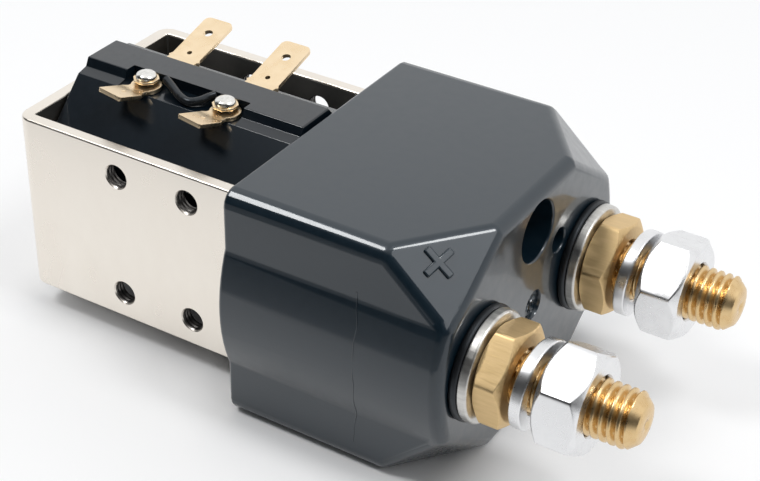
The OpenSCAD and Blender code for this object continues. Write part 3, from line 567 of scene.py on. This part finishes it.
def yoke_mesh():
    """Strip with two bends, two tenons for the pole plate and eight threaded holes."""
    y, inner, half_t = YOKE_Y, YOKE_Y - YOKE_T, YOKE_T / 2
    out_r, in_r, tenon_z = 3.0, 0.5, 5.0
    strip = [(0, -y, out_r), (YOKE_LEN, -y, 0), (YOKE_LEN, -inner, 0), (YOKE_T, -inner, in_r),
             (YOKE_T, inner, in_r), (YOKE_LEN, inner, 0), (YOKE_LEN, y, 0), (0, y, out_r)]
    bm = prism(rounded(strip, 8), -YOKE_Z, YOKE_Z, 0.45, 4)
    tenons = [box((YOKE_LEN - 1, side * (y - half_t) - half_t, -tenon_z),
                  (POLE_X1, side * (y - half_t) + half_t, tenon_z)) for side in (-1, 1)]
    bm = boolean(bm, tenons, "UNION")
    tools = []
    for side in (-1, 1):
        turn = Matrix.Rotation(math.radians(90 * side), 4, "Z")
        for x in HOLE_XS:
            for z in (-HOLE_Z, HOLE_Z):
                tool = yoke_hole()
                tool.transform(Matrix.Translation((x, 0, z)) @ turn)
                tools.append(tool)
    return boolean(bm, tools)


def yoke_look(x, y, z):
    """Number of the material at a place on the yoke: 1 in its holes and 2 on its inner faces, both painted
    shade.
    """
    from_hole = min(math.hypot(x - hole_x, abs(z) - HOLE_Z) for hole_x in HOLE_XS)
    if abs(y) < YOKE_Y - 0.3 and from_hole < HOLE_R + 0.4:
        return 1
    inner = abs(y) < YOKE_Y - YOKE_T + 0.05 and x > YOKE_T - 0.05
    return 2 if inner and abs(z) < YOKE_Z - 0.5 else 0


yoke = piece("bent_yoke", yoke_mesh(), "housing", *made_of("nickel_steel"), ["yoke"])
# Painted shade: the holes and the inner faces get the two darker metals
yoke.data.materials.append(HOLE_SHADE_METAL)
yoke.data.materials.append(YOKE_INSIDE_SHADE)
for face in yoke.data.polygons:
    face.material_index = yoke_look(*(TO_ROW.inverted() @ face.center))


# Coil jacket

def jacket_mesh():
    """Drum, shoulders and ridge in one outline of (y, z), with a bore and a pocket for the rivets."""
    x0, x1, drum_r, bore_r, shoulder_z, step_z = 2.8, 51.2, 17.4, 15.1, 11.1, 21.6
    turns = [math.pi * (1 + k / 32) for k in range(33)]
    under = [(drum_r * math.cos(t), drum_r * math.sin(t)) for t in turns]
    over = [(drum_r, shoulder_z, 0.5), (7.4, LEDGE_Z, 0.3), (5.2, step_z, 0.25), (3.8, RIDGE_Z, 0.35),
            (-4.4, RIDGE_Z, 0.35), (-5.2, step_z, 0.25), (-7.4, LEDGE_Z, 0.3), (-drum_r, shoulder_z, 0.5)]
    over = rounded([(-drum_r, 0, 0), (drum_r, 0, 0), *over], 3)[2:]
    bm = along_x(prism([*under, *over], x0, x1, 0.3))
    pocket = rounded([(12.2, -9.5, 0), (38.6, -9.5, 0), (38.6, -2.3, 0.25), (12.2, -2.3, 0.25)])
    return boolean(bm, [rod(x0 - 0.8, x1 + 0.8, bore_r, steps=96), prism(pocket, LEDGE_Z, 25)])


piece("moulded_jacket", jacket_mesh(), "housing", *made_of("coil_plastic"), ["coil_jacket"])


# Studs and their hardware, from the cover's end outwards

STUD_X0, HEAD_X0, THREAD_X0 = 89.0, 86.0, 97.2
SEAL_X1, FLAT_X1, BRASS_X1 = 97.1, 98.9, 104.1
LOCK_X0, STEEL_X = 104.9, (109.6, 117.6)
BORE_R = 5.1
BEVEL_X = STUD_END - 0.35            # the threaded part ends here, and the tip begins
BRASS_AF, STEEL_AF = 16.4, 17.0
BRASS_TURN = 15


def thread_radius(x, turn):
    """Radius of the stud's thread: round crests, and a bevel towards the tip."""
    at = (x / PITCH - turn) % 1.0
    rise = min(1.0, max(0.0, 1.28 * (1 - abs(2 * at - 1)) ** 0.85))
    start = min(1.0, max(0.0, x - THREAD_X0))
    r = STUD_R - 0.85 * (1 - rise) * start
    return min(r, 3.5 + (BEVEL_X - x) * 0.9)


def stud_mesh(side):
    """Threaded stud with a dimple in its tip, and its oblong head in the contact chamber."""
    steps, y = 72, side * STUD_Y
    xs = [STUD_X0, THREAD_X0]
    while xs[-1] < BEVEL_X - 0.01:
        xs.append(min(xs[-1] + PITCH / 12, BEVEL_X))
    rows = [ring(STUD_X0, 0, (y, 0))]
    for x in xs:
        row = []
        for k in range(steps):
            a = 2 * math.pi * k / steps
            r = thread_radius(x, k / steps)
            row.append((x, y + r * math.cos(a), r * math.sin(a)))
        rows.append(row)
    tip = ((0.2, 3.1), (0.08, 2.5), (0, 1.6), (0.06, 0.8), (0.3, 0.5), (0.4, 0))
    rows += [ring(STUD_END - depth, r, (y, 0), steps) for depth, r in tip]
    head = prism(plate(5.1, 8, 1, (y, 0)), HEAD_X0, CHAMBER_X, 0.3)
    return join(shell(rows), along_x(head))


def ring_mesh(side, corners):
    """Ring on a stud from rounded (x, radius, rounding) corners of its section."""
    return lathe([tuple(p) for p in rounded(corners)], (side * STUD_Y, 0), 96, loop=True)


def nut_mesh(side, across, x0, x1, turn, slope):
    """Hexagon nut with bevel arcs where cones of the given slope meet its flats."""
    flat = across / 2
    corner = flat / math.cos(math.pi / 6)
    face = flat - (corner - flat) * 1.15 / 4
    half = (0.2, 0.45, 0.65, 0.8, 0.9, 0.96, 0.985)
    shares = [-1, *(-s for s in reversed(half)), 0, *half]
    turns = [(60 * k + 30 * s, 30 * s) for k in range(6) for s in shares]
    angles = [math.radians(a + turn) for a, _ in turns]
    edges = [min(flat / math.cos(math.radians(d)), corner - 0.14) for _, d in turns]

    def row(xs, radii):
        """Points once round the nut, one for each of its angles."""
        return [(x, side * STUD_Y + r * math.cos(t), r * math.sin(t)) for x, r, t in zip(xs, radii, angles)]

    def bevel(at, sign):
        """Rows of one bevelled face, from the bore outwards."""
        n = len(edges)
        plain = ((1.6, BORE_R + 0.05), (0.4, BORE_R + 0.05), (0, BORE_R + 0.4), (0, face - 0.2), (0.03, face))
        rows = [row([at + sign * depth] * n, [r] * n) for depth, r in plain]
        for inset, drop in ((0.22, 0), (0.06, 0.02), (0, 0.14)):
            xs = [at + sign * ((e - inset - face) * slope + drop) for e in edges]
            rows.append(row(xs, [e - inset for e in edges]))
        return rows

    return shell(bevel(x0, 1) + bevel(x1, -1)[::-1], loop=True)


def lock_washer_mesh(side):
    """Square bar wound one turn on a helix, open at the bottom, which rises over the front side."""
    section = rounded([(0, 5.3, 0.3), (2.2, 5.3, 0.3), (2.2, 8.05, 0.35), (0, 8.05, 0.35)], 3)
    steps, start, sweep, rise = 96, 264, 348, 2.5
    rows = []
    for k in range(steps + 1):
        a = math.radians(start - sweep * k / steps)
        x0 = LOCK_X0 + rise * k / steps
        rows.append([(x0 + p.x, side * STUD_Y + p.y * math.cos(a), p.y * math.sin(a)) for p in section])
    return shell(rows, caps=True)


def stud_pieces(side, where, steel_turn):
    """One stud with its seal, washers and nuts."""
    def add(name, bm, slot, sharp=32):
        """Piece that stands for the stud's node of that name."""
        piece(f"{where}_{name}_piece", bm, "housing", *made_of(slot), [f"{where}_{name}"], sharp)

    add("stud", stud_mesh(side), "stud_brass", 60)
    add("seal", ring_mesh(side, [(COVER_X1, BORE_R, 0.1), (SEAL_X1, BORE_R, 0.1), (SEAL_X1, 10.3, 0.5),
                                 (COVER_X1, 10.3, 0.6)]), "black_rubber")
    add("flat_washer", ring_mesh(side, [(SEAL_X1, BORE_R, 0.1), (FLAT_X1, BORE_R, 0.3), (FLAT_X1, 9.9, 0.45),
                                        (SEAL_X1, 10.0, 0.35)]), "dull_zinc")
    add("brass_nut", nut_mesh(side, BRASS_AF, FLAT_X1, BRASS_X1, BRASS_TURN, 0.58), "nut_brass")
    add("lock_washer", lock_washer_mesh(side), "zinc_plate")
    add("steel_nut", nut_mesh(side, STEEL_AF, *STEEL_X, steel_turn, 0.9), "zinc_plate")


stud_pieces(-1, "front", -3)
stud_pieces(1, "rear", 13)


# Coil terminals

EYE_R = 2.9
EYE_Z, BLADE_Z = 21.2, 22.3
HEAD_R, HEAD_Z = 1.93, 23.4


def bent(bm, fold, tilt, reach):
    """Bends what lies beyond y = fold upwards by tilt degrees, softly over reach."""
    way = 1 if fold >= 0 else -1
    cuts = 5
    for k in range(cuts + 1):
        y = fold + way * reach * (k / cuts)
        bmesh.ops.bisect_plane(bm, geom=geometry(bm), plane_co=(0, y, 0), plane_no=(0, 1, 0))
    radius = reach / math.radians(tilt)
    for v in bm.verts:
        past = (v.co.y - fold) * way
        if past <= 0:
            continue
        t = min(past, reach) / radius
        rest = max(past - reach, 0)
        z = v.co.z
        v.co.y = fold + way * ((radius - z) * math.sin(t) + rest * math.cos(t))
        v.co.z = radius - (radius - z) * math.cos(t) + rest * math.sin(t)


def front_tab_mesh(x):
    """Eye under the rivet and a dimpled tab that points forwards, tilted up and turned."""
    turns = [math.radians(-42 + 264 * k / 28) for k in range(29)]
    eye = [(EYE_R * math.cos(t), EYE_R * math.sin(t)) for t in turns]
    arm = rounded([(-2.2, -2.5, 0), (-2.9, -3.4, 0.5), (-2.9, -9.2, 0.45), (2.9, -9.2, 0.45),
                   (2.9, -4.0, 0.5), (2.3, -3.0, 0.3)])
    bm = prism([*eye, *arm], 0, TAB_T, 0.1, 2)
    dimple = upright([(0.5, 0), (0.5, 0.5), (0.84, 0.46), (0.94, 0.3), (0.98, 0)], 0, -5.7, 24)
    bm = boolean(bm, [dimple], "UNION")
    bent(bm, -2.2, 17, 2.0)
    bm.transform(Matrix.Translation((x + 0.4, -5.2, EYE_Z)) @ Matrix.Rotation(math.radians(-10), 4, "Z"))
    return bm


def pin(y, r):
    """Upright round tool that cuts a hole in a blade."""
    low, high = -2.0, 3.0
    return upright([(low, 0), (low, r), (high, r), (high, 0)], 0, y, 32)


def blade_mesh(x):
    """Push-on blade with a flared root, a latch hole and a small pin hole, tilted up."""
    half, reach = 3.15, 12.2
    outline = rounded([(-half, -3.2, 0), (half, -3.2, 0), (half, -0.5, 0), (half + 0.4, -0.1, 0.2),
                       (half, 0.7, 0.3), (half, reach, 1.2), (-half, reach, 1.2), (-half, 0.9, 0.3),
                       (-half - 0.5, 0.1, 0.2), (-half, -0.5, 0)], 5)
    bm = boolean(prism(outline, 0, TAB_T, 0.1, 2), [pin(8.0, 0.9), pin(1.9, 0.5)])
    bent(bm, 0.0, 15, 0.5)
    bm.transform(Matrix.Translation((x + 1.2, 5.2, BLADE_Z)))
    return bm


def collar_mesh(x):
    """Eight-sided plate between an eye and its rivet's head."""
    turns = [math.pi * (k + 0.5) / 4 for k in range(8)]
    outline = rounded([(2.5 * math.cos(t), 2.5 * math.sin(t), 0.2) for t in turns], 2)
    bm = prism(outline, 22.55, 23.0, 0.12, 2)
    bm.transform(Matrix.Translation((x, RIVET_Y, 0)))
    return bm


def post_mesh(x):
    """Short post that carries a collar."""
    return upright([(22.0, 0), (22.0, 1.7), (22.6, 1.7), (22.6, 0)], x, RIVET_Y)


def rivet_mesh(x):
    """Rivet with a domed head."""
    turns = [math.pi / 2 * k / 8 for k in range(1, 8)]
    dome = [(HEAD_Z + 0.9 * math.sin(t), HEAD_R * math.cos(t)) for t in turns]
    profile = [(18.8, 0), (18.8, 1.0), (23.0, 1.0), (23.0, 1.86), (23.1, 1.95), (HEAD_Z, HEAD_R), *dome,
               (HEAD_Z + 0.9, 0)]
    return upright(profile, x, RIVET_Y)


for x, where in zip(TAB_XS, ("left", "right")):
    piece(f"{where}_front_tab_piece", front_tab_mesh(x), "housing", *made_of("tab_brass"),
          [f"{where}_front_tab"])
    piece(f"{where}_rear_blade_piece", blade_mesh(x), "housing", *made_of("tab_brass"),
          [f"{where}_rear_blade"])
piece("octagon_collars", join(*[collar_mesh(x) for x in TAB_XS]), "housing", "stud_brass", LOOKS["tab_brass"],
      ["terminal_collars"])
piece("collar_posts", join(*[post_mesh(x) for x in TAB_XS]), "housing", *made_of("coil_plastic"))
piece("domed_rivets", join(*[rivet_mesh(x) for x in TAB_XS]), "housing", *made_of("rivet_tin"),
      ["terminal_rivets"], 45)


# Jumper lead between the rivets: shares of the way to the right one, of its reach forwards, and of its
# rise over the ledge

LEAD = [(0.20, 0.45, 1.20), (0.32, 0.58, 0.92), (0.47, 0.77, 0.68), (0.61, 0.86, 0.58), (0.70, 0.70, 0.66),
        (0.76, 0.50, 0.90), (0.82, 0.38, 1.15)]
LEAD_REACH, LEAD_D = 7.4, 1.6


def smooth_path(points, steps):
    """Points on a smooth curve through the given ones."""
    points = [Vector(p) for p in points]
    out = []
    for k in range(len(points) - 1):
        a, b, c, d = (points[min(max(k + i, 0), len(points) - 1)] for i in (-1, 0, 1, 2))
        for j in range(steps):
            t = j / steps
            out.append(0.5 * (2 * b + (c - a) * t + (2 * a - 5 * b + 4 * c - d) * t * t
                              + (3 * b - a - 3 * c + d) * t ** 3))
    return [*out, points[-1]]


route = [(TAB_XS[0] + (TAB_XS[1] - TAB_XS[0]) * a, -LEAD_REACH * b, LEDGE_Z + LEAD_D * c) for a, b, c in LEAD]
piece("jumper_sleeve", tube(smooth_path(route, 6), LEAD_D / 2, 16), "housing", *made_of("lead_sleeve"),
      ["jumper_lead"], 50)


# Springs, wound from wire

def coil(x0, x1, r, turns, wire_r):
    """Wire wound round the coil's axis."""
    steps = 20
    total = turns * steps
    path = [(x0 + (x1 - x0) * k / total, r * math.cos(2 * math.pi * k / steps),
             r * math.sin(2 * math.pi * k / steps)) for k in range(total + 1)]
    return tube(path, wire_r, 8)


spring = piece("return_coil", coil(19.5, 37.6, 4.05, 8, 0.45), "housing", *made_of("spring_steel"),
               ["return_spring"], 60)
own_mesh(spring)
spring = piece("contact_coil", coil(66.4, 75.7, 5.45, 5, 0.55), "plunger", *made_of("spring_steel"),
               ["contact_spring"], 60)
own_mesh(spring)


# Floor, light and camera

FLOOR_HALF, FLOOR_Z = 3, -0.0001
FLOOR_WHITE = (0.96, 0.96, 0.965, 1)
GLOSS_DARK = 0.03                    # what gloss sees low down in front, where all else is 1
PAPER_END_Y = (-0.1, -0.085)         # the paper ends here for gloss
GLOW_CAMERA, GLOW_GLOSS = 0.42, 0.68
# Painted shade: the floor has no glow close under the part, so its real shadow shows deeper there, also in
# gloss:
# within these spans of y, which are wider under the cover, and of the distance in x from the part's middle
SHADE_Y, SHADE_X, SHADE_MID_X = (0.014, 0.036), (0.042, 0.058), -0.015
COVER_STARTS_X, COVER_WIDER = (-0.024, -0.006), 0.012
FAR = (0.22, 0.8)                    # over this distance the floor fades to plain white

OVERHEAD_Z, FRONT_Y = (0.7, 0.97), (-0.25, 0.15)
LIGHT_COLOUR = (0.96, 0.98, 1, 1)
LIGHT_Y, LIGHT = (-0.7, 0.7), (0.08, 0.96)

LAMP_AIM = Vector((0.01, 0, 0.02))
LAMPS = {                            # direction, distance, width and length, power
    "key": ((-0.44, -0.31, 0.845), 0.8, (0.2, 0.2), 2.1),
    "top": ((0.5, 0.03, 0.87), 0.8, (0.15, 0.22), 1.8),
    "facet": ((0.72, -0.16, 0.68), 0.9, (0.36, 0.3), 0.7),
}

CAMERA_AT = (0.139835, -0.225742, 0.197861)
CAMERA_RIGHT = (0.847532, 0.530528, 0.015168)
CAMERA_UP = (-0.300987, 0.456903, 0.837046)
CAMERA_BACK = (0.437146, -0.713989, 0.546922)
LENS, SENSOR = 83.64, 36


def maths(tree, operation, first, second=0.0):
    """Result of a maths node on numbers or sockets."""
    node = tree.nodes.new("ShaderNodeMath")
    node.operation = operation
    return fill(tree, node, {0: first, 1: second}).outputs[0]


def step(tree, value, span, levels=(0.0, 1.0)):
    """Smooth step of a value over a span, from the first level to the second."""
    node = new_node(tree, "MapRange", {"Value": value, "From Min": span[0], "From Max": span[1],
                                       "To Min": levels[0], "To Max": levels[1]})
    node.interpolation_type = "SMOOTHSTEP"
    return node.outputs["Result"]


def split(tree, socket):
    """X, Y and Z of a vector."""
    return new_node(tree, "SeparateXYZ", {0: socket}).outputs


def mixed(tree, share, first, second, output):
    """Ends a tree in a mix of two shaders."""
    mix = new_node(tree, "MixShader", {0: share, 1: first, 2: second})
    new_node(tree, output, {"Surface": mix.outputs["Shader"]})


def floor_glow(tree):
    """Share of the floor's colour that it sends out itself, and not by reflected light."""
    rays = new_node(tree, "LightPath").outputs
    place = new_node(tree, "TexCoord").outputs["Object"]
    at = split(tree, place)
    wider = step(tree, at["X"], COVER_STARTS_X, (0.0, COVER_WIDER))
    beside = step(tree, maths(tree, "SUBTRACT", maths(tree, "ABSOLUTE", at["Y"]), wider), SHADE_Y)
    beyond = step(tree, maths(tree, "ABSOLUTE", maths(tree, "SUBTRACT", at["X"], SHADE_MID_X)), SHADE_X)
    near = maths(tree, "ADD", maths(tree, "MULTIPLY", rays["Is Camera Ray"], GLOW_CAMERA),
                 maths(tree, "MULTIPLY", rays["Is Glossy Ray"], GLOW_GLOSS))
    # Painted shade: no glow close under the part, where its shadow falls, so the real shadow shows deeper
    near = maths(tree, "MULTIPLY", near, maths(tree, "MAXIMUM", beside, beyond))
    distance = tree.nodes.new("ShaderNodeVectorMath")
    distance.operation = "LENGTH"
    far = step(tree, fill(tree, distance, {0: place}).outputs["Value"], FAR)
    return maths(tree, "MAXIMUM", near, maths(tree, "MULTIPLY", far, rays["Is Camera Ray"]))


def floor():
    """White paper. Gloss shows that it ends in front of the part, as on a table in a dim room."""
    mesh = bpy.data.meshes.new("floor")
    h = FLOOR_HALF
    mesh.from_pydata([(-h, -h, 0), (h, -h, 0), (h, h, 0), (-h, h, 0)], [], [(0, 1, 2, 3)])
    o = to_object(mesh, "floor")
    o.location.z = FLOOR_Z
    material = bpy.data.materials.new("floor")
    material.use_nodes = True
    tree = material.node_tree
    tree.nodes.clear()
    rays = new_node(tree, "LightPath").outputs
    at = split(tree, new_node(tree, "TexCoord").outputs["Object"])
    paper = step(tree, at["Y"], PAPER_END_Y, (GLOSS_DARK, 1.0))
    strength = maths(tree, "MAXIMUM", paper, rays["Is Camera Ray"])
    paint = new_node(tree, "BsdfDiffuse", {"Color": FLOOR_WHITE}).outputs["BSDF"]
    glow = new_node(tree, "Emission", {"Strength": strength}).outputs["Emission"]
    mixed(tree, floor_glow(tree), paint, glow, "OutputMaterial")
    mesh.materials.append(material)


def world():
    """Diffuse light that is stronger from behind, and a white background for the camera and gloss.

    Gloss sees it dark low down on the front side, and white overhead and behind.
    """
    made = bpy.data.worlds.new("studio")
    bpy.context.scene.world = made
    made.use_nodes = True
    tree = made.node_tree
    tree.nodes.clear()
    way = split(tree, new_node(tree, "TexCoord").outputs["Generated"])
    rays = new_node(tree, "LightPath").outputs
    overhead = step(tree, way["Z"], OVERHEAD_Z, (GLOSS_DARK, 1.0))
    gloss = maths(tree, "MAXIMUM", overhead, step(tree, way["Y"], FRONT_Y))
    open_ray = maths(tree, "MAXIMUM", rays["Is Camera Ray"], rays["Is Transmission Ray"])
    light = new_node(tree, "Background", {"Color": LIGHT_COLOUR,
                                          "Strength": step(tree, way["Y"], LIGHT_Y, LIGHT)})
    seen = new_node(tree, "Background", {"Color": (1, 1, 1, 1),
                                         "Strength": maths(tree, "MAXIMUM", gloss, open_ray)})
    mixed(tree, maths(tree, "MAXIMUM", rays["Is Glossy Ray"], open_ray), light.outputs["Background"],
          seen.outputs["Background"], "OutputWorld")


def lamp(name, way, distance, size, power):
    """Soft box in the direction way from LAMP_AIM, which it faces."""
    data = bpy.data.lights.new(name, "AREA")
    data.shape = "RECTANGLE"
    data.size, data.size_y = size
    data.energy = power
    o = to_object(data, name)
    o.location = LAMP_AIM + Vector(way).normalized() * distance
    o.rotation_mode = "QUATERNION"
    o.rotation_quaternion = (-Vector(way)).to_track_quat("-Z", "Y")


def camera():
    """Camera where the photograph was taken from."""
    data = bpy.data.cameras.new("camera")
    data.sensor_width = SENSOR
    data.lens = LENS
    data.clip_start, data.clip_end = 0.02, 20
    o = to_object(data, "camera")
    turn = Matrix((CAMERA_RIGHT, CAMERA_UP, CAMERA_BACK)).transposed().to_4x4()
    o.matrix_world = Matrix.Translation(CAMERA_AT) @ turn
    bpy.context.scene.camera = o


floor()
world()
for name, values in LAMPS.items():
    lamp(name, *values)
camera()
bpy.context.scene.view_settings.view_transform = "Standard"
